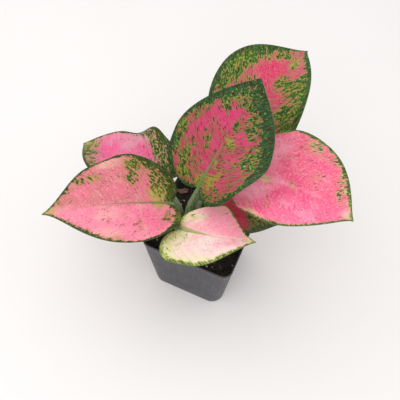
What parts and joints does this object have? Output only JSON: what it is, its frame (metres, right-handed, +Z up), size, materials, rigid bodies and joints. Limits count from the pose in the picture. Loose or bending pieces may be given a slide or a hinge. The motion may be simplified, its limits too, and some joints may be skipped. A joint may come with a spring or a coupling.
{
  "type": "potted chinese evergreen",
  "caption": "Young variegated Chinese evergreen with broad pink, flecked leaves on short stalks, rooted in a square tapered nursery pot of dark plastic.",
  "frame": {"origin": "centre of the pot's square underside, on the surface it stands on", "axes": "+Z up; the pot's sides lie along X and Y; the picture looks from the front (-Y), turned about 20 degrees towards +X; leaf_left and leaf_back_left reach out along -X"},
  "size_m": [0.2312, 0.202, 0.1798],
  "materials": {
    "pot_plastic": "satin dark grey, injection moulded",
    "potting_mix": null,
    "cane": "green fleshy stem, ringed",
    "roots": "pale fleshy roots",
    "bark": "weathered bark flake",
    "stalk": null,
    "leaf_left": null,
    "leaf_back_left": null,
    "leaf_centre": null,
    "leaf_back": null,
    "leaf_right": null,
    "leaf_front": null,
    "leaf_low_right": null
  },
  "bodies": {
    "root": {"nursery_pot": "pot_plastic", "potting_mix": "potting_mix", "cane": "cane", "roots": "roots", "bark_chip": "bark", "leaf_left": "leaf_left", "stalk_left": "stalk", "leaf_back_left": "leaf_back_left", "stalk_back_left": "stalk", "leaf_centre": "leaf_centre", "stalk_centre": "stalk", "leaf_back": "leaf_back", "stalk_back": "stalk", "leaf_right": "leaf_right", "stalk_right": "stalk", "leaf_front": "leaf_front", "stalk_front": "stalk", "leaf_low_right": "leaf_low_right", "stalk_low_right": "stalk"}
  },
  "joints": []
}
